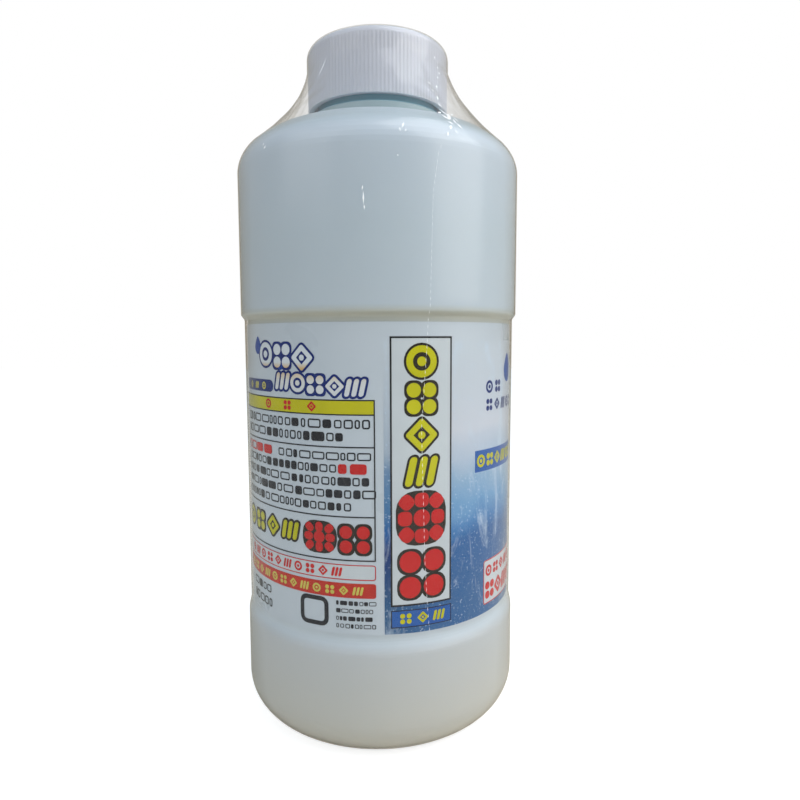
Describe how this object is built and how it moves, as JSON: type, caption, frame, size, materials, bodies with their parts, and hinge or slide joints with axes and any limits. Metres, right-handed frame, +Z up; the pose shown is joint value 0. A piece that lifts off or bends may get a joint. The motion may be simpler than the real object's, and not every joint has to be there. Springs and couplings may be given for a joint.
{
  "type": "washing machine cleaner bottle",
  "caption": "Round plastic bottle of liquid cleaner with a ribbed screw cap, a wrap label set in a recess, and a clear shrink film over cap and body.",
  "frame": {"origin": "centre of the circle that the bottle stands on, at the underside of its base", "axes": "+Z up along the bottle's own axis, from the base to the cap; -Y is the side that the picture shows"},
  "size_m": [0.104, 0.104, 0.2465],
  "materials": {
    "bottle_plastic": "satin, faintly milky",
    "cap_plastic": "satin with fine grip ribs",
    "liner_foam": "soft matt",
    "label_film": "printed, glossy",
    "clear_film": "clear, glossy, slightly crumpled",
    "liquid": "clear liquid"
  },
  "bodies": {
    "bottle": {"bottle": "bottle_plastic", "neck": "bottle_plastic", "label": "label_film", "outer_film": "clear_film", "cleaning_liquid": "liquid"},
    "cap_seal": {"cap_liner": "liner_foam"},
    "cap": {"cap": "cap_plastic"}
  },
  "joints": [
    {"name": "cap_lift", "type": "slide", "parent": "bottle", "child": "cap_seal", "axis": [0, 0, 1], "range_m": [0, 0.006], "deforming": ["outer_film"]},
    {"name": "cap_turn", "type": "hinge", "parent": "cap_seal", "child": "cap", "pos_m": [0, 0, 0.2236], "axis": [0, 0, 1], "range_deg": [0, 540]}
  ],
  "couplings": [
    {"joint": "cap_lift", "follows": "cap_turn", "m_per_rad": 0.0006366}
  ]
}
